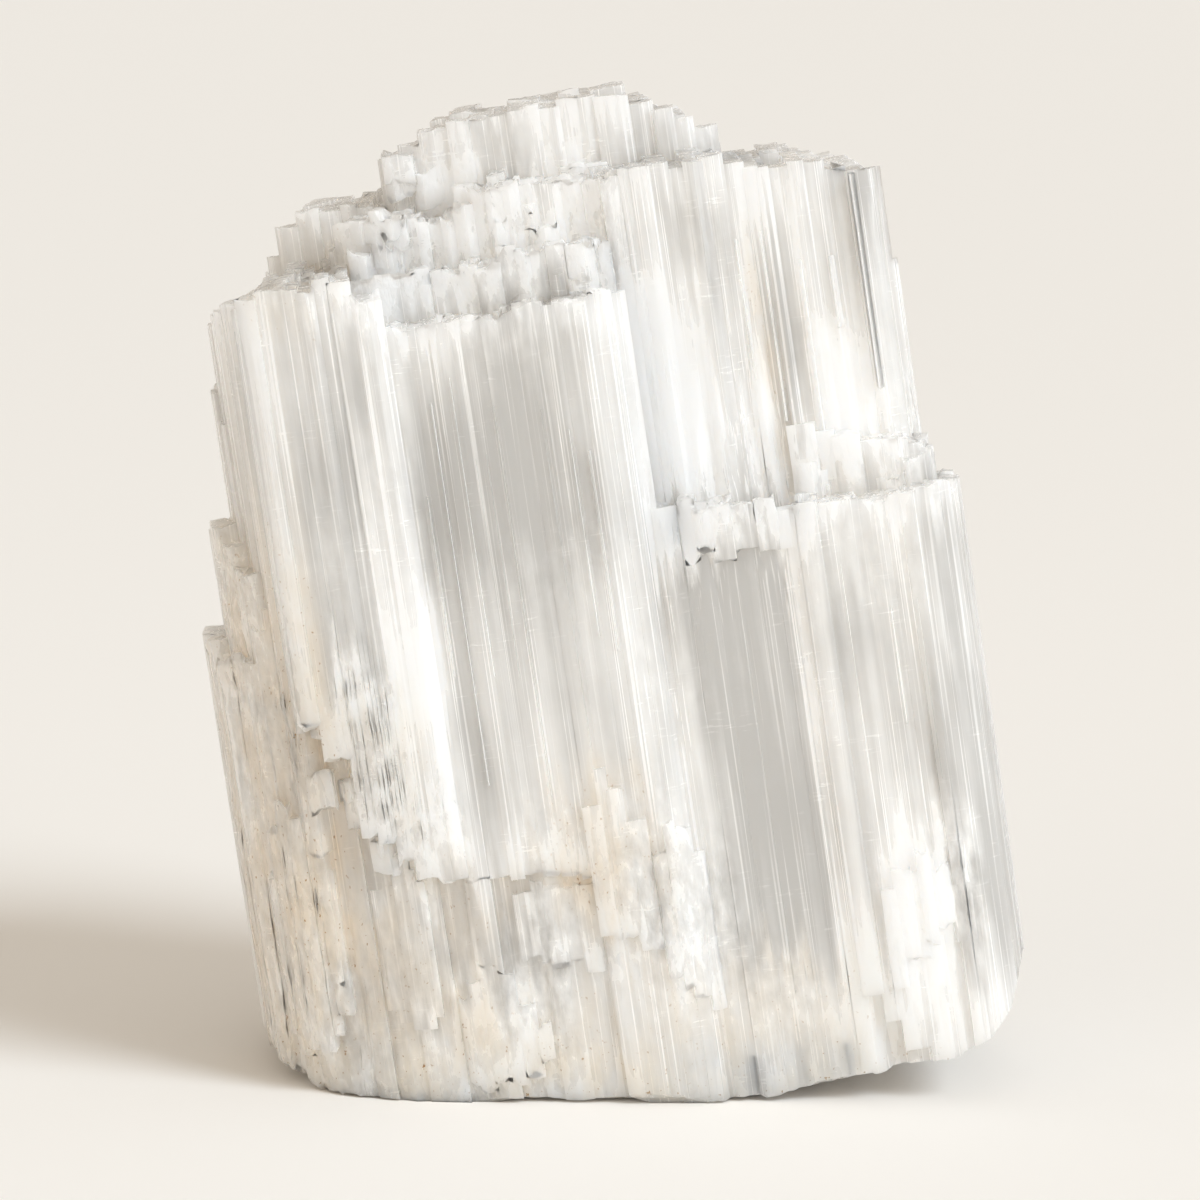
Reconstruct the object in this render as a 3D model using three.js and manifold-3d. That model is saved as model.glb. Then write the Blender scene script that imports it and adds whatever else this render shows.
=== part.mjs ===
// A standing chunk of fibrous selenite: one mass of parallel crystal blades, broken off at stepped
// heights, with its front sheets split away in zigzag edges low on the left and right.
// Millimetres, +Z up. The broad striped face looks towards -Y, and the origin is on the surface that
// the chunk stands on, under the middle of its outline.
import * as THREE from "three";
import { mergeVertices } from "three/addons/utils/BufferGeometryUtils.js";
import Module from "manifold-3d";

const wasm = await Module();
wasm.setup();

// Driving dimensions. The blades run along w. Seen from the front, u runs right across them and v runs
// from the front face (-30) to the back (+31). The whole mass then leans to the left by LEAN_DEG.
const LEAN_DEG = 8.3;
const BELOW = -14; // under the foot, which is cut to its outline at the end
const LAP = 0.14; // how far a blade runs into its neighbours, so that they fuse
const GROWN_BACK = 0.9; // how far a row of blades runs into the row behind
const FUSE_TOLERANCE = 0.05; // steps finer than this are closed up
const SEED = 1873;

// Each sheet is a row of blades along a path of [u, v, bottom w, top w]. The outside of the chunk is on
// the right-hand side of the path. width is a blade's mean width, depth is how far the sheet runs into
// the mass, rows is how many blades stand one behind the other, relief is how far their faces stand
// proud of each other, and ragged is how far their tops and bottoms differ.
const SHEETS = [
  {
    what: "front left plate, the nearest, torn off low down in a zigzag",
    width: 2.3, depth: 22, rows: 2, relief: 0.3, ragged: 0.7,
    path: [
      [-28.7, -26.8, 50, 98.4], [-28.1, -28.9, 50, 99.2], [-25.2, -29.5, 49, 99.6],
      [-22.4, -29.8, 37, 99.8], [-19.6, -29.7, 35, 100], [-16.8, -29.6, 29.5, 99.6],
      [-11.8, -29.2, 28.6, 98],
    ],
  },
  {
    what: "middle plate, left part, cracked across low down",
    width: 2.1, depth: 12, rows: 1, relief: 0.16, ragged: 0.35,
    path: [[-12, -27.9, 28.6, 93.5], [-4, -28.3, 28.3, 93.7], [3, -28.4, 27.6, 93.9]],
  },
  {
    what: "middle plate, right part, which turns in to the trough beside it",
    width: 2.1, depth: 12, rows: 1, relief: 0.2, ragged: 0.4,
    path: [[3, -28.5, BELOW, 93.9], [10.4, -28.6, BELOW, 94.2], [13.6, -27.6, BELOW, 94.3],
      [16, -25.4, BELOW, 94]],
  },
  {
    what: "trough between the middle and right plates",
    width: 2.2, depth: 12, rows: 1, relief: 0.25, ragged: 0.6,
    path: [[15.4, -26.4, BELOW, 69.8], [18.6, -25.3, BELOW, 67.6], [24, -24.8, BELOW, 66],
      [29, -25.1, BELOW, 65.3], [32, -26.4, BELOW, 65.4]],
  },
  {
    what: "right plate, with the clear square shoulder at its outer top corner",
    width: 2.4, depth: 14, rows: 1, relief: 0.25, ragged: 0.3,
    path: [[31.6, -27.3, 10, 66.4], [34, -27.5, 6, 66.5], [37, -27.4, 1, 66.4],
      [45.6, -26.7, -3, 66.5], [49.4, -25, BELOW, 66.4], [51, -21, BELOW, 66.2]],
  },
  {
    what: "right flank under the shoulder",
    width: 3.4, depth: 16, rows: 1, relief: 0.35, ragged: 1.2,
    path: [[50.9, -21, BELOW, 66], [51, -10, BELOW, 64.6], [49.6, 1, BELOW, 60],
      [46.6, 10, BELOW, 57]],
  },
  {
    what: "body behind the foot of the right plate",
    width: 3, depth: 10, rows: 1, relief: 0.4, ragged: 1,
    path: [[30, -25.6, BELOW, 40], [39, -26, BELOW, 38], [47, -24.8, BELOW, 38]],
  },
  {
    what: "broken steps on the right shoulder",
    width: 2.3, depth: 9, rows: 2, relief: 0.5, ragged: 1.3,
    path: [[32.2, -20.8, 60, 73.8], [38, -21.6, 60, 73.4], [43.4, -22, 60, 71.6],
      [47.6, -21.2, 60, 70.6], [48.3, -17, 60, 70]],
  },
  {
    what: "upper right plate, tall and deeply striped",
    width: 1.9, depth: 23, rows: 2, relief: 0.45, ragged: 0.5,
    path: [[15, -20.9, 58, 107], [19, -20.4, 58, 106.8], [28.4, -19.9, 58, 106.8],
      [29.6, -19.6, 58, 105.7], [34.6, -19.4, 58, 105], [35.6, -19.4, 58, 105],
      [39.4, -19.2, 58, 104.8], [40, -19.1, 58, 103.2], [45.4, -18.4, 58, 102.8],
      [46.5, -15.4, 58, 102.4]],
  },
  {
    what: "upper right flank",
    width: 3.4, depth: 14, rows: 1, relief: 0.4, ragged: 1.2,
    path: [[46.4, -15.6, 58, 102.2], [46.6, -4, 58, 100.6], [45, 6, 50, 95]],
  },
  {
    what: "thin sheet on the upper right flank",
    width: 3, depth: 6, rows: 1, relief: 0.2, ragged: 0.6,
    path: [[45.8, -17.4, 58, 91.6], [47.5, -14.4, 58, 91.4], [47.6, -5, 56, 90]],
  },
  {
    what: "crumbling upper middle, stepped back above the middle plate",
    width: 2, depth: 13, rows: 2, relief: 0.7, ragged: 0.9,
    path: [[-17.6, -12, 84, 101.4], [-16.4, -15.6, 84, 104.2], [-10, -17.4, 84, 104.8],
      [-4.2, -17.9, 84, 103.8], [-1, -18, 84, 106], [3, -18.3, 84, 107.4],
      [10, -18.6, 84, 107.4], [17.6, -18.8, 84, 106.9]],
  },
  {
    what: "lower step of the crumbling upper middle",
    width: 2.2, depth: 7, rows: 1, relief: 0.6, ragged: 1.1,
    path: [[-12.8, -20.4, 84, 98.4], [-8, -22.6, 84, 97.4], [-1, -23.4, 84, 98.6],
      [6, -23.2, 84, 99.4], [14.8, -22, 84, 98.8]],
  },
  {
    what: "upper left block, behind the front left plate",
    width: 2.4, depth: 14, rows: 2, relief: 0.4, ragged: 0.6,
    path: [[-26.2, 6, 74, 96], [-26.5, -1, 74, 97.6], [-25.2, -4.6, 74, 101],
      [-23.2, -6.2, 74, 104], [-20.8, -7, 74, 106.4], [-11, -7.6, 74, 106.2]],
  },
  {
    what: "crest, the tallest block",
    width: 2.9, depth: 17, rows: 3, relief: 0.45, ragged: 0.55,
    path: [[-11.4, 6, 88, 102], [-11.4, -4, 88, 106.4], [-10.3, -6.8, 88, 109.8],
      [-8.6, -8.2, 88, 112.2], [-4.7, -9, 88, 114], [4, -9.6, 88, 114.8],
      [17, -9.8, 88, 114.8], [21.8, -9.4, 88, 113.5], [23, -9.2, 88, 112.4],
      [27, -8.6, 88, 110.6], [28.8, -7.4, 88, 109.2], [29.2, 3, 88, 106.4]],
  },
  {
    what: "left flank beside the front left plate",
    width: 2.8, depth: 12, rows: 1, relief: 0.3, ragged: 0.7,
    path: [[-30.6, 10, 34, 88], [-32.8, 3, 34, 92.6], [-33.2, -7, 34, 95],
      [-32.4, -15, 34, 96.4], [-31.6, -20, 34, 98], [-29.8, -24.6, 34, 98.3],
      [-28.2, -26.4, 34, 98.3]],
  },
  {
    what: "left flank, first step out",
    width: 3, depth: 8, rows: 1, relief: 0.25, ragged: 1.2,
    path: [[-32.6, 9, 30, 80], [-33.8, 1, 30, 86], [-33.9, -9, 30, 87.6],
      [-33, -16, 30, 84]],
  },
  {
    what: "left flank, second step out",
    width: 3.2, depth: 12, rows: 1, relief: 0.5, ragged: 1.4,
    path: [[-33.4, 15, 20, 60], [-36, 6, 20, 66], [-36.8, -5, 20, 70.4],
      [-35.8, -13.4, 20, 71], [-33.6, -19, 20, 68.6], [-31.2, -23.4, 20, 63],
      [-28.4, -26, 20, 58]],
  },
  {
    what: "lower left body, rounded and rough, under the torn edge",
    width: 3.2, depth: 14, rows: 1, relief: 0.7, ragged: 2,
    path: [[-33, 22, BELOW, 44], [-37.4, 13, BELOW, 50], [-39.3, 2, BELOW, 56],
      [-39.3, -8, BELOW, 57.6], [-37.6, -15.4, BELOW, 56], [-33.8, -20.8, BELOW, 58],
      [-28.6, -24.6, BELOW, 60], [-20.6, -26.6, BELOW, 60], [-12, -27.1, BELOW, 60]],
  },
  {
    what: "lower middle body, under the crack",
    width: 2.9, depth: 10, rows: 1, relief: 0.35, ragged: 1,
    path: [[-12.4, -27.2, BELOW, 40], [-4, -27.5, BELOW, 40], [4, -27.6, BELOW, 40]],
  },
  {
    what: "upper back, stepped down from the crest",
    width: 5.4, depth: 17, rows: 2, relief: 0.6, ragged: 1.8,
    path: [[44.6, 5, 34, 94], [40, 13, 34, 90], [31, 19, 34, 92], [20, 22.5, 34, 103],
      [4, 23.6, 34, 101], [-10, 22.4, 34, 93], [-22, 18.6, 34, 87], [-31.6, 9, 34, 84]],
  },
  {
    what: "tall back plate",
    width: 3.4, depth: 10, rows: 1, relief: 0.35, ragged: 1,
    path: [[23.4, 24, 8, 95], [21, 28, 8, 97.4], [9, 29.6, 8, 98.6], [-3, 29.4, 8, 98],
      [-5.4, 25, 8, 97]],
  },
  {
    what: "right back plate",
    width: 4.4, depth: 14, rows: 1, relief: 0.5, ragged: 1.6,
    path: [[48.6, 1, BELOW, 58], [45.4, 11, BELOW, 61], [37.6, 19.6, BELOW, 65.6],
      [21, 27, BELOW, 68]],
  },
  {
    what: "left back plate",
    width: 3.6, depth: 14, rows: 1, relief: 0.4, ragged: 1.6,
    path: [[-4, 28, BELOW, 76], [-17, 26, BELOW, 74.4], [-27, 21.4, BELOW, 69],
      [-34, 13, BELOW, 64]],
  },
  {
    what: "lower back body",
    width: 4.4, depth: 12, rows: 1, relief: 0.7, ragged: 2.4,
    path: [[36, 21.8, BELOW, 24], [23, 28.2, BELOW, 29], [8, 30.9, BELOW, 33],
      [-9, 30.5, BELOW, 42], [-23, 27, BELOW, 46], [-35.4, 19.4, BELOW, 43]],
  },
  {
    what: "rough blocks on top of the trough",
    width: 2.4, depth: 6, rows: 1, relief: 0.5, ragged: 0.9,
    path: [[18.4, -26, 63, 68.6], [24, -26.4, 62, 67.4], [31.6, -26.6, 62, 66.6]],
  },
  {
    what: "splinter under the crack, middle",
    width: 1.7, depth: 3, rows: 1, relief: 0.12, ragged: 0.9,
    path: [[-7, -27.8, 20, 27], [-3.4, -28.1, 17.4, 27.6], [2.4, -28.2, 16.6, 26.8]],
  },
  {
    what: "stained splinter over the crack, right",
    width: 1.8, depth: 4, rows: 1, relief: 0.2, ragged: 0.8,
    path: [[2.6, -29.1, 21, 33], [5, -29.3, 20, 39], [7, -29.2, 19, 36.6], [9.4, -28.9, 18.6, 30]],
  },
  {
    what: "splinter beside the stained one",
    width: 1.7, depth: 4, rows: 1, relief: 0.2, ragged: 0.8,
    path: [[9.8, -29, 15, 27], [12.4, -28.5, 12, 32.6], [15.6, -26.6, 8, 26]],
  },
  {
    what: "splinter at the foot, left of the middle",
    width: 1.7, depth: 3, rows: 1, relief: 0.2, ragged: 1.4,
    path: [[-15, -27.5, 5, 13], [-11, -27.8, 3.6, 19], [-7.6, -27.9, 4, 15],
      [-5, -27.8, 6, 9]],
  },
  {
    what: "splinter on the lower left body",
    width: 1.8, depth: 3, rows: 1, relief: 0.2, ragged: 1.2,
    path: [[-23.4, -26.6, 14, 27], [-20.4, -27.4, 11, 31], [-17.2, -27.8, 14.6, 29]],
  },
  {
    what: "splinter at the lower left corner",
    width: 2, depth: 4, rows: 1, relief: 0.3, ragged: 1.2,
    path: [[-35.4, -19.4, 12, 30], [-33, -23, 10, 42], [-30, -25, 13, 36],
      [-27.6, -26, 16, 28]],
  },
  {
    what: "rough splinter on the foot of the right plate",
    width: 1.8, depth: 3, rows: 1, relief: 0.25, ragged: 1.4,
    path: [[35.4, -27.9, 7, 20], [38.4, -28, 12, 24], [41.6, -27.8, 15.4, 23],
      [45.6, -27.2, 14, 19]],
  },
];

// Crumbs are small blocks fused on where the crystal has splintered: the middle of the patch, its
// half-widths, and how many there are. They stand along the blades as everything here does.
const CRUMB_SIZE = [1.1, 2.6];
const CRUMB_PATCHES = [
  { count: 18, at: [1, -18.4, 101], spread: [15, 0.5, 3.8] },
  { count: 9, at: [0, -22.8, 96], spread: [12.5, 0.5, 2] },
  { count: 6, at: [40, -21.6, 68], spread: [6.4, 1, 2.2] },
  { count: 6, at: [-24, -27.7, 45], spread: [3.4, 0.5, 6] },
  { count: 4, at: [-6, -9.2, 109.6], spread: [4, 0.4, 2.2] },
  { count: 4, at: [-17, -28.4, 32], spread: [4, 0.4, 3] },
];

// Ribs are the straight hair-thin ridges between blades, longest on the plates.
const RIB_WIDTH = 0.9;
const RIB_HEIGHT = 0.35;
const RIBBED = [
  { count: 7, u: [-10.6, 2.4], face: -28.2, w: [32, 91] },
  { count: 3, u: [4, 10.6], face: -28.5, w: [40, 90] },
  { count: 5, u: [18.4, 30], face: -24.9, w: [4, 61] },
  { count: 8, u: [17.4, 44.4], face: -19.8, w: [71, 103] },
  { count: 3, u: [34, 48], face: -27, w: [26, 64] },
];

// The core fills the mass behind the sheets, lower than every break.
const CORE_TOP = 84;
const CORE = [
  [-29, -16], [-20, -20], [10, -20], [38, -15], [44, -6], [42, 6], [28, 16], [6, 20], [-16, 17],
  [-28, 8],
];

// The foot, seen from the front in [x, z] and from the left side in [y, z]: flat under the middle, lifted
// clear of the surface on the right, and rounded off all round.
const HIGH = 150;
const FOOT_FRONT = [
  [-70, HIGH], [-70, 14], [-43.4, 11], [-42, 4.4], [-39.2, 2.6], [-33, 0.9], [-25, 0], [12, 0],
  [20, 1.3], [28, 2.9], [34, 4], [41, 5.6], [45, 7.6], [47.4, 11], [49, 17], [70, 24], [70, HIGH],
];
const FOOT_SIDE = [
  [-50, HIGH], [-50, 16], [-29.8, 8], [-29.2, 1.8], [-27.6, 0], [20, 0], [26, 2.4], [30, 8],
  [31.6, 20], [50, 40], [50, HIGH],
];

// Bites are small shell-shaped breaks round the foot: their middle, and how far they reach.
const BITES = [
  [-44.6, -10, 3.6, 3.6], [-38.4, -25, -0.6, 4], [-27, -30.4, -1.6, 3.4], [-13, -32, -1.4, 3.2],
  [19.6, -31.4, -1.4, 3.8], [30.4, -31, 0.6, 3.6], [40.4, -30.4, 2.2, 4], [50.4, -20, 7, 4],
  [50, -4, 5.6, 4.6], [43, 14, 1.6, 5], [26, 27, 0.6, 5], [4, 31.4, 1.4, 4.6], [-18, 29.4, 0.8, 5],
  [-37, 19, 0.8, 5], [-43.6, 4, 1.6, 4],
];

const SELENITE = new THREE.MeshStandardMaterial({
  name: "selenite",
  color: 0xe6e1da,
  roughness: 0.32,
  metalness: 0,
});

// The same seed gives the same crystal on every run.
function seededRandom(seed) {
  let state = seed;
  return () => {
    state = (Math.imul(state, 1664525) + 1013904223) >>> 0;
    return state / 4294967296;
  };
}

const random = seededRandom(SEED);
const between = (low, high) => low + (high - low) * random();
const around = (spread) => between(-spread, spread);

function solidFrom(geometry) {
  geometry.deleteAttribute("normal");
  geometry.deleteAttribute("uv");
  const merged = mergeVertices(geometry, 1e-5);
  return new wasm.Manifold(
    new wasm.Mesh({
      numProp: 3,
      vertProperties: merged.getAttribute("position").array,
      triVerts: new Uint32Array(merged.index.array),
    }),
  );
}

// A blade: a prism with the given plan in [u, v], its two ends cut at a slight slant.
function blade(plan, bottom, top, slant = 0) {
  const shape = new THREE.Shape(plan.map(([u, v]) => new THREE.Vector2(u, v)));
  const geometry = new THREE.ExtrudeGeometry(shape, { depth: top - bottom, bevelEnabled: false });
  const position = geometry.getAttribute("position");
  const [middleU, middleV] = plan[0];
  const [slantU, slantV] = [around(slant), around(slant)];
  for (let i = 0; i < position.count; i++) {
    const tilt = slantU * (position.getX(i) - middleU) + slantV * (position.getY(i) - middleV);
    position.setZ(i, position.getZ(i) + bottom + tilt);
  }
  return solidFrom(geometry);
}

// A point on a sheet's path at a distance along it, with the bottom and top there.
function alongPath(path, distance) {
  let left = distance;
  for (let i = 1; i < path.length; i++) {
    const [from, to] = [path[i - 1], path[i]];
    const length = Math.hypot(to[0] - from[0], to[1] - from[1]);
    if (left <= length || i === path.length - 1) {
      const share = Math.min(left / length, 1);
      const [u, v, bottom, top] = from.map((value, k) => value + (to[k] - value) * share);
      return { u, v, bottom, top };
    }
    left -= length;
  }
}

function pathLength(path) {
  return path
    .slice(1)
    .reduce((sum, to, i) => sum + Math.hypot(to[0] - path[i][0], to[1] - path[i][1]), 0);
}

// The blades of one sheet. The first row's outer faces are shallow ridges, and the rows behind fill the
// sheet's depth with their own broken tops.
function sheetBlades({ path, width, depth, rows, relief, ragged }) {
  const blades = [];
  const length = pathLength(path);
  let start = 0;
  while (start < length) {
    let end = start + width * between(0.6, 1.4);
    if (length - end < width * 0.5) end = length;
    const [a, m, b] = [start, (start + end) / 2, end].map((at) => alongPath(path, at));
    const across = new THREE.Vector2(b.u - a.u, b.v - a.v).normalize();
    const out = new THREE.Vector2(across.y, -across.x);
    const place = (point, along, outward) => [
      point.u + across.x * along + out.x * outward,
      point.v + across.y * along + out.y * outward,
    ];
    const proud = around(relief);
    const ridge = proud + between(0, relief);
    const bottom = m.bottom === BELOW ? BELOW : m.bottom + around(ragged);
    let rowStart = 0;
    for (let row = 0; row < rows; row++) {
      const rowEnd = row === rows - 1 ? depth : (depth * (row + between(0.75, 1.25))) / rows;
      const near = row === 0 ? [proud, ridge, proud + around(relief * 0.5)] : [-rowStart, -rowStart, -rowStart];
      const far = -rowEnd - GROWN_BACK;
      const plan = [
        place(a, -LAP, near[0]),
        place(m, around(width * 0.2), near[1]),
        place(b, LAP, near[2]),
        place(b, LAP, far),
        place(a, -LAP, far),
      ];
      blades.push(blade(plan, bottom, m.top + around(ragged) * (row ? 1.6 : 1), 0.06));
      rowStart = rowEnd;
    }
    start = end;
  }
  return blades;
}

function crumbs({ count, at, spread }) {
  return Array.from({ length: count }, () => {
    const [u, v, w] = at.map((value, k) => value + around(spread[k]));
    const size = between(...CRUMB_SIZE);
    const turn = around(0.5);
    const corners = [0.2, 1.7, 3.3, 4.8].map((angle) => angle + around(0.4) + turn);
    const plan = corners.map((angle) => [u + Math.cos(angle) * size, v + 1 + Math.sin(angle) * size]);
    return blade(plan, w - between(1, 3.4), w + between(0.6, 1.8), 0.3);
  });
}

function ribs({ count, u: [uLow, uHigh], face, w: [wLow, wHigh] }) {
  const spacing = (uHigh - uLow) / count;
  return Array.from({ length: count }, (_, i) => {
    const u = uLow + spacing * (i + between(0.2, 0.8));
    const half = RIB_WIDTH * between(0.35, 0.6);
    const plan = [
      [u - half, face + 0.8],
      [u + around(half * 0.5), face - RIB_HEIGHT * between(0.8, 1.6)],
      [u + half, face + 0.8],
    ];
    const top = wHigh - (wHigh - wLow) * between(0, 0.3);
    const bottom = wLow + (wHigh - wLow) * between(0, 0.45);
    return blade(plan, bottom, top);
  });
}

// The foot's outline swept right through the chunk, to keep what lies inside it.
function sweptOutline(outline, turnAboutZ) {
  const shape = new THREE.Shape(outline.map(([across, z]) => new THREE.Vector2(across, z)));
  const geometry = new THREE.ExtrudeGeometry(shape, { depth: 2 * HIGH, bevelEnabled: false });
  geometry.translate(0, 0, -HIGH);
  geometry.rotateX(Math.PI / 2);
  geometry.rotateZ(turnAboutZ);
  return solidFrom(geometry);
}

function bite([x, y, z, reach]) {
  const geometry = new THREE.IcosahedronGeometry(reach);
  geometry.scale(1.3, 1, 0.9);
  geometry.rotateZ(around(1));
  geometry.translate(x, y, z);
  return solidFrom(geometry);
}

// The outermost skin alone, without any gap that the blades closed in between them.
function largestOf(solid) {
  return solid
    .decompose()
    .reduce((largest, piece) => (piece.volume() > largest.volume() ? piece : largest));
}

function seleniteMass() {
  const upright = wasm.Manifold.union([
    blade(CORE, BELOW, CORE_TOP),
    ...SHEETS.flatMap(sheetBlades),
    ...CRUMB_PATCHES.flatMap(crumbs),
    ...RIBBED.flatMap(ribs),
  ]);
  const leaning = upright.rotate([0, -LEAN_DEG, 0]);
  const footed = leaning
    .intersect(sweptOutline(FOOT_FRONT, 0))
    .intersect(sweptOutline(FOOT_SIDE, Math.PI / 2))
    .subtract(wasm.Manifold.union(BITES.map(bite)));
  const whole = largestOf(footed.simplify(FUSE_TOLERANCE));
  const { min, max } = whole.boundingBox();
  return whole.translate([-(min[0] + max[0]) / 2, -(min[1] + max[1]) / 2, -min[2]]);
}

function meshOf(solid, name, material) {
  const { numProp, vertProperties, triVerts } = solid.getMesh();
  const geometry = new THREE.BufferGeometry();
  geometry.setAttribute("position", new THREE.BufferAttribute(vertProperties, numProp));
  geometry.setIndex(new THREE.BufferAttribute(triVerts, 1));
  const flat = geometry.toNonIndexed();
  flat.computeVertexNormals();
  const mesh = new THREE.Mesh(flat, material);
  mesh.name = name;
  return mesh;
}

const chunk = new THREE.Group();
chunk.add(meshOf(seleniteMass(), "selenite_crystal", SELENITE));

export default chunk;
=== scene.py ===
import math

import bmesh
import bpy
from mathutils import Matrix, Vector, noise


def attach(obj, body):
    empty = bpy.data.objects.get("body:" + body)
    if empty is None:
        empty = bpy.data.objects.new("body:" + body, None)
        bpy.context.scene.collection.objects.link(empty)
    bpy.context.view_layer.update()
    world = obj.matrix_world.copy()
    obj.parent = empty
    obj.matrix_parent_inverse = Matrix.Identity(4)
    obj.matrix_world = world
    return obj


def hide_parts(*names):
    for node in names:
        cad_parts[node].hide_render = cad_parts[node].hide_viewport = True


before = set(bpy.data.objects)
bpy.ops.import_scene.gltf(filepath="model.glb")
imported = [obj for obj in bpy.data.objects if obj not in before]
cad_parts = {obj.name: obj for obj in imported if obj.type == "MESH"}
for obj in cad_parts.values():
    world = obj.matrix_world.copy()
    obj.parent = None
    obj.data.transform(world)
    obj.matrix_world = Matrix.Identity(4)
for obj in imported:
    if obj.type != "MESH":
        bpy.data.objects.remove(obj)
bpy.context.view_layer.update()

# The chunk is one mass of satin spar, the fibrous form of selenite: thousands of hair-fine crystals of
# gypsum grown side by side. It split along them and snapped across them, so its long faces are ribbed
# and its ends and foot are splintered.
MM = 0.001
LEAN = math.radians(8.3)  # the fibres lean to the left, towards -X
# In the fibres' frame u is across, v is depth, with the front below 0, and w is along the fibres.
TO_FIBRES = Matrix.Rotation(LEAN, 4, "Y")
FROM_FIBRES = TO_FIBRES.inverted()


def ease(low, high, value):
    """0 up to low, 1 from high on, and smooth between. Low may be the higher one."""
    share = min(max((value - low) / (high - low), 0), 1)
    return share * share * (3 - 2 * share)


# Where the front is splintered, as soft ovals of (u, w, half-width, half-height, amount), in mm.
SPLINTERED = [
    (-2, 101, 17, 7, 1), (-22, 46, 5, 10, 0.8), (-18, 34, 6, 6, 0.9), (-35, 34, 7, 30, 0.75),
    (-20, 12, 16, 14, 0.65), (4, 25, 9, 11, 0.6), (40, 19, 6, 9, 0.6), (24, 67, 9, 3, 0.9),
    (40, 69, 9, 4, 0.6), (-36, 62, 4, 10, 0.7), (-9, 109, 4, 5, 0.7), (24, 8, 6, 6, 0.5),
    (12, 18, 6, 12, 0.5), (-24, 102, 5, 5, 0.4), (38, 58, 7, 6, 0.25), (-18, 66, 8, 12, 0.2),
]
# Milky veils (more than 0) and glassy windows (less than 0) in the front, over a middling haze.
VEILS = [
    (-20, 60, 8, 12, 0.22), (-19, 42, 8, 12, 0.28), (-20, 90, 6, 7, -0.25), (-27, 80, 1.6, 26, 0.35),
    (-12.5, 66, 1.3, 36, 0.2), (-10, 64, 2, 30, -0.25), (0, 80, 9.5, 17, -0.4), (-3, 62, 8, 9, -0.1),
    (-4, 42, 8, 8, -0.05), (14, 66, 2.4, 36, 0.2), (18, 26, 2, 12, 0.3), (22.6, 38, 6.2, 34, -0.55),
    (40, 56, 8, 8, -0.1), (48, 60, 3, 8, -0.4), (39, 40, 7, 16, 0.02), (41, 19, 6, 9, 0.45),
    (47, 14, 4, 7, -0.5), (19.5, 88, 4.5, 20, 0.45), (28.5, 88, 3.5, 18, 0.1), (33, 90, 2, 16, -0.4),
    (39, 88, 5, 18, 0.35), (45, 100, 3, 6, -0.35), (-2, 101, 16, 7, 0.3), (0, 110, 12, 6, 0.2),
    (-20, 101, 6, 5, -0.35), (-34, 40, 5, 26, -0.1), (-25, 20, 5, 14, -0.3), (-12, 10, 5, 7, 0.4),
    (2, 14, 7, 10, -0.15), (-10, 22, 6, 6, -0.3), (24, 67, 9, 3, 0.3), (6, 56, 4, 16, -0.15),
    (-22.5, 68, 4.5, 14, -0.5), (-19, 20, 5, 7, -0.6), (22, 100, 8, 8, -0.5), (47, 28, 4, 14, -0.5),
    (-26, 18, 5, 8, -0.3), (31, 38, 2, 30, 0.3), (24, 6, 8, 6, 0.3), (31, 8, 4, 9, 0.2),
    (22, 73, 8, 7, 0.35), (34, 74, 6, 6, 0.25), (36, 5, 6, 5, 0.3), (-6, 90, 4, 6, 0.15),
]
# Where clay has stained the pores. The patches up the left side and along the foot are partly painted
# warm light: warm shade on the left, and light bounced up from the paper at the foot.
STAINS_AND_WARM_LIGHT = [
    (4, 30, 6, 10, 0.5), (-20, 42, 5, 8, 0.35), (-33, 34, 8, 42, 0.85), (-26, 14, 14, 18, 0.6),
    (-22, 102, 6, 6, 0.4), (10, 6, 22, 8, 0.45), (31, 84, 1.5, 8, 0.4), (0, 27, 12, 4, 0.35),
]
FRONT_FADE = (-2, -12)  # mm in depth, over which these ovals come in
SIDES_FADE = (1.2, 0.85)  # in half-widths: where an oval has ended, and where it is whole
ENDS_FADE = (1.3, 0.6)  # in half-heights
SIDES_WANDER = 0.6  # mm, in waves of 3 mm
FINGER = 8  # mm that the ends run out along the fibres, in fingers
FINGER_WIDTH = 1.3
FINGER_LENGTH = 40


def covered(point, patches):
    """How much the ovals cover a point of the front. They run out along the fibres in fingers."""
    front = ease(*FRONT_FADE, point.y)
    if front == 0:
        return 0
    fingers = Vector((point.x / FINGER_WIDTH, point.y / FINGER_WIDTH, point.z / FINGER_LENGTH))
    u = point.x + SIDES_WANDER * noise.noise(point / 3)
    w = point.z + FINGER * noise.noise(fingers)
    total = 0
    for middle_u, middle_w, half_u, half_w, amount in patches:
        across = abs(u - middle_u) / half_u
        along = abs(w - middle_w) / half_w
        if across < SIDES_FADE[0] and along < ENDS_FADE[0]:
            total += amount * ease(*SIDES_FADE, across) * ease(*ENDS_FADE, along)
    return total * front


FOOT_SPLINTERS = 6  # mm up from the foot, all round, more or less
FOOT_SPLINTERED = 0.5  # how splintered the foot is
DRIFT_SPLINTERED = 0.3  # and how splintered the patches are that lie anywhere
HAZE = 0.47
HAZE_DRIFT = 0.35
HAZE_WIDTH = 9  # mm
HAZE_LENGTH = 26
# The foot is tinted warm all round: painted warm light, bounced up from the paper.
FOOT_WARM_LIGHT_HEIGHT = 11  # mm up from the foot, all round
FOOT_WARM_LIGHT = 0.75


def splintering(point):
    """How splintered the surface is, from 0 on a clean cleavage face to 1."""
    rim = FOOT_SPLINTERS + 2.5 * noise.noise(point / 5)
    foot = FOOT_SPLINTERED * ease(rim, 0, (FROM_FIBRES @ point).z)
    drift = DRIFT_SPLINTERED * ease(0.15, 0.45, noise.noise(point / 14 + Vector((7, 3, 1))))
    return min(covered(point, SPLINTERED) + foot + drift, 1)


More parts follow.
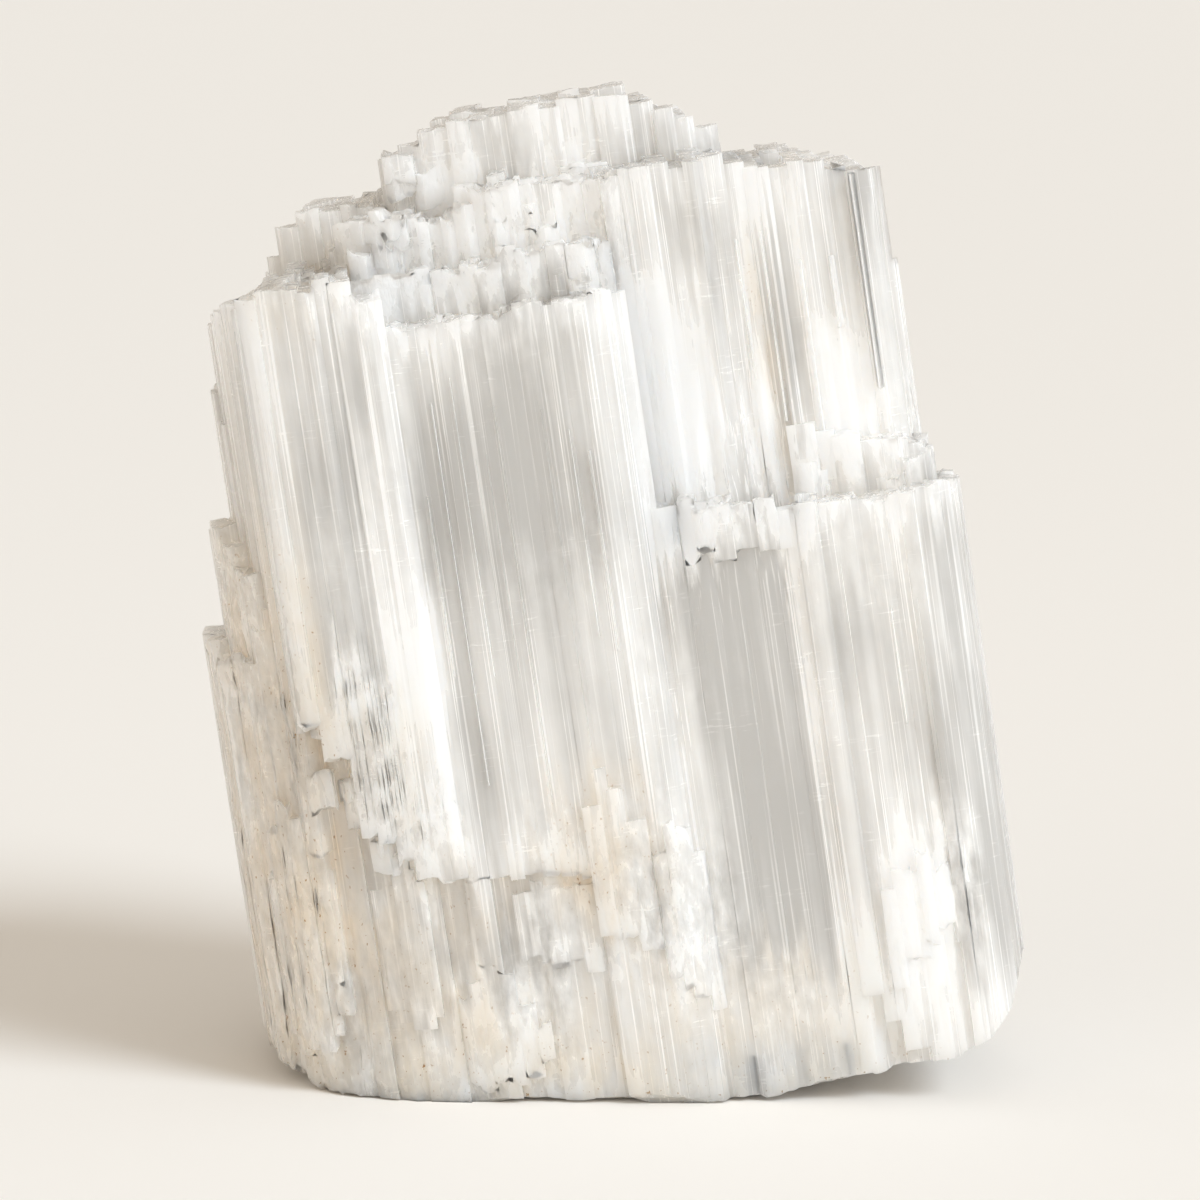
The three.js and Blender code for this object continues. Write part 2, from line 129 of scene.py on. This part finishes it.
def cloudiness(point):
    """How milky the crystal is, from 0 for a clear window to 1."""
    clouds = Vector((point.x / HAZE_WIDTH, point.y / HAZE_WIDTH, point.z / HAZE_LENGTH))
    return min(max(HAZE + covered(point, VEILS) + HAZE_DRIFT * noise.noise(clouds), 0), 1)


def staining_and_warm_light(point):
    """How far clay has got into the surface, with painted warm light in it: a warm band at the foot,
    for light bounced up from the paper.
    """
    foot = FOOT_WARM_LIGHT * ease(FOOT_WARM_LIGHT_HEIGHT, 0, (FROM_FIBRES @ point).z)
    return min(covered(point, STAINS_AND_WARM_LIGHT) + foot, 1)


ALONG = 8  # a clean face's triangles are this many times as long along the fibres as across them
ALONG_SPLINTERED = 2
FRONT_EDGE = 1.02  # mm, the longest edge on the front, measured across the fibres
BACK_EDGE = 1.9
BASE_EDGE = 4  # on the flat underside, which is hidden
BASE_HEIGHT = 0.05  # mm, up to which it is the underside
DICING_PASSES = 12


def excess_length(edge, rough):
    """An edge's length over the length allowed there. Length along the fibres counts for less."""
    a, b = edge.verts
    step = (a.co - b.co) / MM
    along = ALONG + (ALONG_SPLINTERED - ALONG) * (rough[a] + rough[b]) / 2
    size = math.hypot(step.x, step.y, step.z / along)
    allowed = FRONT_EDGE if a.co.y < 0 else BACK_EDGE
    if size > allowed and max((FROM_FIBRES @ end.co).z for end in edge.verts) < BASE_HEIGHT * MM:
        allowed = BASE_EDGE
    return size / allowed


def divide(face, middles):
    """Divides a triangle, some of whose edges have a new vertex in the middle, into triangles."""
    corners = list(face.verts)
    found = [vert for vert in corners if vert in middles]
    if len(found) == 1:
        opposite = corners[(corners.index(found[0]) + 2) % len(corners)]
        bmesh.utils.face_split(face, found[0], opposite)
    elif len(found) == 2:
        if corners[(corners.index(found[0]) + 2) % len(corners)] is not found[1]:
            found.reverse()
        after = corners[(corners.index(found[1]) + 1) % len(corners)]
        tip = corners[(corners.index(found[0]) + 1) % len(corners)]
        made = bmesh.utils.face_split(face, *found)[0]
        bmesh.utils.face_split(face if tip in made.verts else made, found[0], after)
    elif len(found) == 3:
        for first, second in zip(found, found[1:] + found[:1]):
            made = bmesh.utils.face_split(face, first, second)[0]
            face = face if set(found) <= set(face.verts) else made


def dice(bm):
    """Cuts the triangles down to size, finer across the fibres than along them and where splintered."""
    rough = {vert: splintering(vert.co / MM) for vert in bm.verts}
    for _ in range(DICING_PASSES):
        excess = {edge: excess_length(edge, rough) for edge in bm.edges}
        longest = {max(face.edges, key=excess.get) for face in bm.faces}
        long = [edge for edge in longest if excess[edge] > 1]
        middles = {bmesh.utils.edge_split(edge, edge.verts[0], 0.5)[1] for edge in long}
        if not middles:
            return
        rough.update({vert: splintering(vert.co / MM) for vert in middles})
        for face in {face for vert in middles for face in vert.link_faces}:
            divide(face, middles)


FACET_SLOPE = 1.6  # how much the facets slope, each its own way
FACET_STEP = 0.3  # how much some stand out past others
noise.seed_set(1)  # without it, noise_vector and so the facets differ from run to run


def broken_facets(point, size):
    """The height of a surface snapped into flat facets of about the given size, from about -1 to 1."""
    at = point / size
    middle = noise.voronoi(at)[1][0]
    slope = noise.noise_vector(middle * 3.1)
    return (at - middle).dot(slope) * FACET_SLOPE + FACET_STEP * noise.noise(middle * 1.7)


# The ribs that stand out enough to be seen as shape, and the wider bundles of fibres: mm from one to
# the next, how many times as long they run, and height in mm.
RIBS = [(1.3, 40, 0.07), (4.5, 14, 0.13)]
END_TURNED = (0.25, 0.6)  # how far a face is turned to the fibres, from a long face to a snapped end
END_PITCH = 2.2  # mm across one splinter of a snapped end
END_HEIGHT = 0.5
FACETS_FROM = 0.04  # how splintered the surface is where facets begin
FACET_SIZE = 2.3
FACET_HEIGHT = 0.27
SMALL_FACETS = 0.45  # the height of the small facets in the facets
SMALL_FACET_SIZE = FACET_SIZE / 2.6
FACETS_FLAT = 0.9  # how much of the way outward the facets' pattern leaves out
HALF_WIDTH = 50  # mm, of the chunk, for which way is outward
HALF_DEPTH = 30
MIDDLE_HEIGHT = 55
HEIGHT = 110
FOOT_LEVEL = 0.6  # mm up from the foot, over which the moves fade, so that it still stands flat
RAGGED_FOOT = 1.0  # mm, about the most that the foot's rim is lifted
RIM = 2.5  # mm up from the foot
# Where the trough beside the right plate comes forward, nearly level with the plate.
FILLED = [(23.5, 30, 8.5, 42, 0.8)]
FILLED_TO = -27.9  # mm in depth
FILLED_BY = 3  # mm at most


def weathered(point, normal, rough):
    """How far a point of the surface moves, in millimetres in the fibres' frame."""
    ribs = 0
    for pitch, length, height in RIBS:
        ribs += height * noise.noise(Vector((point.x, point.y, point.z / length)) / pitch)
    moved = Vector((normal.x, normal.y, 0)) * ribs
    if rough > FACETS_FROM:
        # Straight out from the chunk's middle, so that the two walls of a narrow gap move together.
        height = (point.z - MIDDLE_HEIGHT) / HEIGHT
        outward = Vector((point.x / HALF_WIDTH, point.y / HALF_DEPTH, height)).normalized()
        flat = point - FACETS_FLAT * outward * point.dot(outward)
        facets = broken_facets(flat, FACET_SIZE) + SMALL_FACETS * broken_facets(flat, SMALL_FACET_SIZE)
        moved += outward * (FACET_HEIGHT * rough * facets)
    moved.y -= covered(point, FILLED) * min(max(point.y - FILLED_TO, 0), FILLED_BY)
    snapped = ease(*END_TURNED, abs(normal.z))
    if snapped > 0:
        flat = Vector((point.x, point.y, 0))
        splinter = noise.cell(flat / END_PITCH) * 2 - 1
        slope = noise.noise(flat / 5) + 0.6 * noise.noise(flat / 1.1)
        moved.z += snapped * END_HEIGHT * (0.3 + rough) * (0.5 * splinter + 0.6 * slope)
    up = (FROM_FIBRES @ point).z
    lift = RAGGED_FOOT * ease(RIM, 0, up) * ease(0.05, 0.4, abs(normal.x) + abs(normal.y))
    lift *= max(0, noise.noise(point / 6) + 0.25)
    return moved * ease(0, FOOT_LEVEL, up) + TO_FIBRES @ Vector((0, 0, lift))


# Boxes behind the front plates, from (u, v, w) to (u, v, w) in mm, which are solid crystal. The thin
# gaps there are too deep to see into, but light that scatters within would be lost in them.
SOLID_BEHIND = [
    ((10.5, -24.9, 3), (31.5, -15, 64.3)),
    ((-15, -26.5, 31), (-10.5, -14, 92)),
    ((28.8, -18.2, 65), (41, -5, 101.5)),
]
SAME_PLACE = 0.0005 * MM


def add_piece(name, bm):
    """Makes the bmesh an object of the scene, with a mesh of the same name."""
    mesh = bpy.data.meshes.new(name)
    bm.to_mesh(mesh)
    bm.free()
    piece = bpy.data.objects.new(name, mesh)
    bpy.context.scene.collection.objects.link(piece)
    return piece


def solid_chunk():
    """The CAD solid, merged, with the boxes behind its plates joined on."""
    bm = bmesh.new()
    bm.from_mesh(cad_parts["selenite_crystal"].data)
    bmesh.ops.remove_doubles(bm, verts=bm.verts, dist=SAME_PLACE)
    solid = add_piece("solid", bm)
    bm = bmesh.new()
    for low, high in SOLID_BEHIND:
        size = (Vector(high) - Vector(low)) * MM
        place = FROM_FIBRES @ Matrix.Translation((Vector(high) + Vector(low)) / 2 * MM)
        bmesh.ops.create_cube(bm, size=1, matrix=place @ Matrix.Diagonal((*size, 1)))
    boxes = add_piece("boxes behind", bm)
    join = solid.modifiers.new("join", "BOOLEAN")
    join.operation = "UNION"
    join.solver = "EXACT"
    join.object = boxes
    joined = solid.evaluated_get(bpy.context.evaluated_depsgraph_get())
    bm = bmesh.new()
    bm.from_mesh(joined.to_mesh())
    bmesh.ops.remove_doubles(bm, verts=bm.verts, dist=SAME_PLACE)
    bpy.data.objects.remove(solid)
    bpy.data.objects.remove(boxes)
    return bm


FLAT_WITHIN = math.radians(0.6)
SHARP_FROM = math.radians(32)


def chunk_mesh():
    """The whole chunk, cut finer and weathered, with the milk, splinters, and stain with painted warm
    light at each vertex.
    """
    bm = solid_chunk()
    squeezed = Matrix.Diagonal((1, 1, 1 / ALONG, 1)) @ TO_FIBRES
    bmesh.ops.transform(bm, matrix=squeezed, verts=bm.verts)
    bmesh.ops.dissolve_limit(bm, angle_limit=FLAT_WITHIN, verts=bm.verts, edges=bm.edges)
    bmesh.ops.triangulate(bm, faces=bm.faces, quad_method="BEAUTY", ngon_method="BEAUTY")
    bmesh.ops.scale(bm, vec=(1, 1, ALONG), verts=bm.verts)
    dice(bm)
    bm.normal_update()
    cloud, frost, stain_and_warm_light = [bm.verts.layers.float.new(name) for name in ("cloud", "frost", "stain_and_warm_light")]
    moves = []
    for vert in bm.verts:
        point = vert.co / MM
        vert[cloud] = cloudiness(point)
        vert[frost] = splintering(point)
        vert[stain_and_warm_light] = staining_and_warm_light(point)
        moves.append(weathered(point, vert.normal, vert[frost]) * MM)
    for vert, move in zip(bm.verts, moves):
        vert.co += move
    bmesh.ops.transform(bm, matrix=FROM_FIBRES, verts=bm.verts)
    for vert in bm.verts:
        vert.co.z = max(vert.co.z, 0)
    mesh = bpy.data.meshes.new("selenite chunk")
    bm.to_mesh(mesh)
    bm.free()
    if "custom_normal" in mesh.attributes:
        mesh.attributes.remove(mesh.attributes["custom_normal"])
    mesh.polygons.foreach_set("use_smooth", [True] * len(mesh.polygons))
    mesh.set_sharp_from_angle(angle=SHARP_FROM)
    return mesh


def linear(hex_colour):
    """A hex colour as a linear red, green, blue and alpha."""
    parts = [int(hex_colour[i:i + 2], 16) / 255 for i in (1, 3, 5)]
    return [c / 12.92 if c <= 0.04045 else ((c + 0.055) / 1.055) ** 2.4 for c in parts] + [1]


def add(tree, kind, inputs, **settings):
    """Adds a node with its settings. Each input is a value, or another node's output to link."""
    made = tree.nodes.new("ShaderNode" + kind)
    for name, value in settings.items():
        setattr(made, name, value)
    for socket, value in inputs.items():
        if isinstance(value, bpy.types.NodeSocket):
            tree.links.new(value, made.inputs[socket])
        else:
            made.inputs[socket].default_value = value
    return made


WINDOW_GREY = "#D8D6D3"
MILK_WHITE = "#F9F8F6"
# A warm cream: clay in the pores, and in part painted warm light at the foot and up the left side.
CLAY_AND_WARM_LIGHT_CREAM = "#EDE3D5"
CLAY_BROWN = "#A9824F"
# The patterns within the crystal: their size across and along the fibres in mm, and their detail.
PATTERNS = {
    "hairs": (0.3, 60, 2),  # single bright threads
    "streaks": (1.2, 80, 4),
    "veils": (8, 18, 5),
    "cracks": (2.2, 0.3, 2),  # short cracks across the fibres
    "cracked": (7, 5, 2),  # where those cracks are
    "crumble": (1.2, 2.6, 5),
    "clay_and_warm_light": (4, 8, 3),
    "specks": (0.45, 0.5, 1),  # grains of brown clay
}
STREAK_DEPTH = 0.03 * MM
CRUMBLE_DEPTH = 12.0  # as many times the streaks' depth


def satin_spar():
    """Satin spar: silky and milky where the fibres part, and glassy where they grew tight."""
    material = bpy.data.materials.new("satin spar selenite")
    material.use_nodes = True
    tree = material.node_tree
    tree.nodes.clear()
    place = add(tree, "TexCoord", {}).outputs["Object"]
    fibres = add(tree, "Mapping", {"Vector": place, "Rotation": (0, LEAN, 0), "Scale": (1 / MM,) * 3})
    found = {"crushed_and_lit_edges": add(tree, "NewGeometry", {}).outputs["Pointiness"]}
    for name in ("cloud", "frost", "stain_and_warm_light"):
        found[name] = add(tree, "Attribute", {}, attribute_name=name).outputs["Fac"]
    for name, (across, along, detail) in PATTERNS.items():
        size = (1 / across, 1 / across, 1 / along)
        stretched = add(tree, "Mapping", {"Vector": fibres.outputs[0], "Scale": size})
        pattern = add(tree, "TexNoise", {"Vector": stretched.outputs[0], "Scale": 1, "Detail": detail})
        found[name] = pattern.outputs["Fac"]

    # Each range of a pattern becomes a range of milkiness, in part of the crystal or all over.
    clean = add(tree, "Math", {0: 1.0, 1: found["frost"]}, operation="SUBTRACT").outputs[0]
    cracked = {"Value": found["cracked"], "From Min": 0.52, "From Max": 0.66}
    cracked = add(tree, "MapRange", cracked).outputs[0]
    cloud = found["cloud"]
    for name, low, high, at_low, at_high, where in (
        ("streaks", 0.3, 0.7, -0.16, 0.16, clean),
        ("hairs", 0.57, 0.66, 0, 0.5, clean),
        ("crumble", 0.3, 0.7, -0.1, 0.6, found["frost"]),
        ("cracks", 0.6, 0.7, 0, 0.25, cracked),
        ("veils", 0.3, 0.7, -0.22, 0.22, 1.0),
        # Whiter along convex edges: the crystal's crushed edges, and in part a painted highlight where
        # edges catch the light.
        ("crushed_and_lit_edges", 0.52, 0.58, 0, 0.5, 1.0),  # along the edges
    ):
        part = {"Value": found[name], "From Min": low, "From Max": high}
        part.update({"To Min": at_low, "To Max": at_high})
        part = add(tree, "MapRange", part).outputs[0]
        total = {0: part, 1: where, 2: cloud}
        cloud = add(tree, "Math", total, operation="MULTIPLY_ADD").outputs[0]
    cloud = add(tree, "Clamp", {"Value": cloud}).outputs[0]

    # The warm cream, clay and in part painted warm light, lies in part of the stained pores, and grains
    # of brown clay in part of the cream.
    amounts = {"milk": cloud, "stain_and_warm_light": found["stain_and_warm_light"]}
    for name, low, high, within in (("clay_and_warm_light", 0.25, 0.6, "stain_and_warm_light"), ("specks", 0.7, 0.76, "clay_and_warm_light")):
        part = {"Value": found[name], "From Min": low, "From Max": high}
        part = add(tree, "MapRange", part).outputs[0]
        part = add(tree, "Math", {0: part, 1: amounts[within]}, operation="MULTIPLY")
        amounts[name] = part.outputs[0]
    # A Mix node's colours go in at sockets 6 and 7, and come out at 2.
    colour = linear(WINDOW_GREY)
    for name, hex_colour in (("milk", MILK_WHITE), ("clay_and_warm_light", CLAY_AND_WARM_LIGHT_CREAM), ("specks", CLAY_BROWN)):
        mix = {0: amounts[name], 6: colour, 7: linear(hex_colour)}
        colour = add(tree, "Mix", mix, data_type="RGBA").outputs[2]

    crumble = {0: found["crumble"], 1: found["frost"]}
    crumble = add(tree, "Math", crumble, operation="MULTIPLY").outputs[0]
    height = {0: crumble, 1: CRUMBLE_DEPTH, 2: found["streaks"]}
    height = add(tree, "Math", height, operation="MULTIPLY_ADD").outputs[0]
    bump = add(tree, "Bump", {"Height": height, "Distance": STREAK_DEPTH, "Strength": 1.0})
    rough = add(tree, "MapRange", {"Value": cloud, "To Min": 0.1, "To Max": 0.32})
    clear = {"Value": cloud, "From Min": 0.05, "From Max": 0.95, "To Min": 0.3, "To Max": 0.05}
    clear = add(tree, "MapRange", clear)
    shader = add(tree, "BsdfPrincipled", {
        "Base Color": colour,
        "Roughness": rough.outputs[0],
        "IOR": 1.52,
        "Transmission Weight": clear.outputs[0],
        "Subsurface Weight": 1.0,
        "Subsurface Radius": (1, 0.95, 0.9),
        "Subsurface Scale": 12 * MM,
        "Normal": bump.outputs[0],
    })
    add(tree, "OutputMaterial", {"Surface": shader.outputs[0]})
    return material


chunk = bpy.data.objects.new("crystal_chunk", chunk_mesh())
bpy.context.scene.collection.objects.link(chunk)
chunk.data.materials.append(satin_spar())
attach(chunk, "root")
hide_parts("selenite_crystal")

# The floor is one wide sheet of warm white photo paper, matt, laid flat under the chunk. It reaches so
# far that no edge of it shows.
FLOOR_HALF = 8.0
PAPER_WAVE = 18 * MM  # the paper is flat but for faint waves this wide
paper_sheet = bmesh.new()
bmesh.ops.create_grid(paper_sheet, x_segments=1, y_segments=1, size=FLOOR_HALF)
floor = add_piece("paper_floor", paper_sheet)
paper = bpy.data.materials.new("matt photo paper")
paper.use_nodes = True
paper_place = add(paper.node_tree, "TexCoord", {}).outputs["Object"]
paper_waves = {"Vector": paper_place, "Scale": 1 / PAPER_WAVE, "Detail": 3.0}
paper_waves = add(paper.node_tree, "TexNoise", paper_waves).outputs["Fac"]
paper_bump = {"Height": paper_waves, "Distance": 0.02 * MM, "Strength": 0.3}
paper_bump = add(paper.node_tree, "Bump", paper_bump).outputs["Normal"]
paper_shader = paper.node_tree.nodes["Principled BSDF"]
paper.node_tree.links.new(paper_bump, paper_shader.inputs["Normal"])
paper_shader.inputs["Base Color"].default_value = linear("#F3F1EE")
paper_shader.inputs["Roughness"].default_value = 0.9
paper_shader.inputs["Specular IOR Level"].default_value = 0.1
floor.data.materials.append(paper)

# Light: a cool key from the right and above, and a low, wide softbox on the same side, which puts
# silky bands on the long faces. A warm reflector fills from the left, a small softbox overhead lights
# the paper near by, and the room is warm all round.
COOL_WHITE = linear("#ECF6FF")[:3]
WARM_WHITE = linear("#FFF7EA")[:3]
for name, energy, degrees, toward, colour in (
    ("key", 1.85, 24, (0.6, -0.47, 0.645), COOL_WHITE),
    ("side softbox", 0.75, 34, (0.75, -0.64, 0.16), COOL_WHITE),
    ("reflector", 0.55, 50, (-0.7, -0.7, 0.12), WARM_WHITE),
):
    lamp = bpy.data.lights.new(name, "SUN")
    lamp.energy = energy
    lamp.angle = math.radians(degrees)
    lamp.color = colour
    lamp_object = bpy.data.objects.new(name, lamp)
    lamp_object.rotation_euler = Vector(toward).to_track_quat("Z", "Y").to_euler()
    bpy.context.scene.collection.objects.link(lamp_object)
overhead = bpy.data.lights.new("overhead softbox", "AREA")
overhead.energy = 0.2
overhead.size = 0.3
overhead_object = bpy.data.objects.new("overhead softbox", overhead)
overhead_object.location = (0.05, -0.1, 0.6)
bpy.context.scene.collection.objects.link(overhead_object)
room = bpy.data.worlds.new("warm white room")
room.use_nodes = True
room.node_tree.nodes["Background"].inputs["Color"].default_value = linear("#FFF3E3")
room.node_tree.nodes["Background"].inputs["Strength"].default_value = 0.58
bpy.context.scene.world = room
bpy.context.scene.view_settings.view_transform = "Standard"
bpy.context.scene.cycles.max_bounces = 6
bpy.context.scene.cycles.transmission_bounces = 4

# Camera: a long lens 0.7 m away, a little higher than the chunk's top. It looks down at the chunk's
# middle, by 9 degrees.
CAMERA_DOWN = math.radians(9)
CAMERA_DISTANCE = 0.7
LOOK_AT = Vector((-1.2, 0, 55)) * MM
lens = bpy.data.cameras.new("camera")
lens.lens = 175
lens.sensor_width = 36
camera = bpy.data.objects.new("camera", lens)
away = Vector((0, -math.cos(CAMERA_DOWN), math.sin(CAMERA_DOWN)))
camera.location = LOOK_AT + CAMERA_DISTANCE * away
camera.rotation_euler = (math.pi / 2 - CAMERA_DOWN, 0, 0)
bpy.context.scene.collection.objects.link(camera)
bpy.context.scene.camera = camera
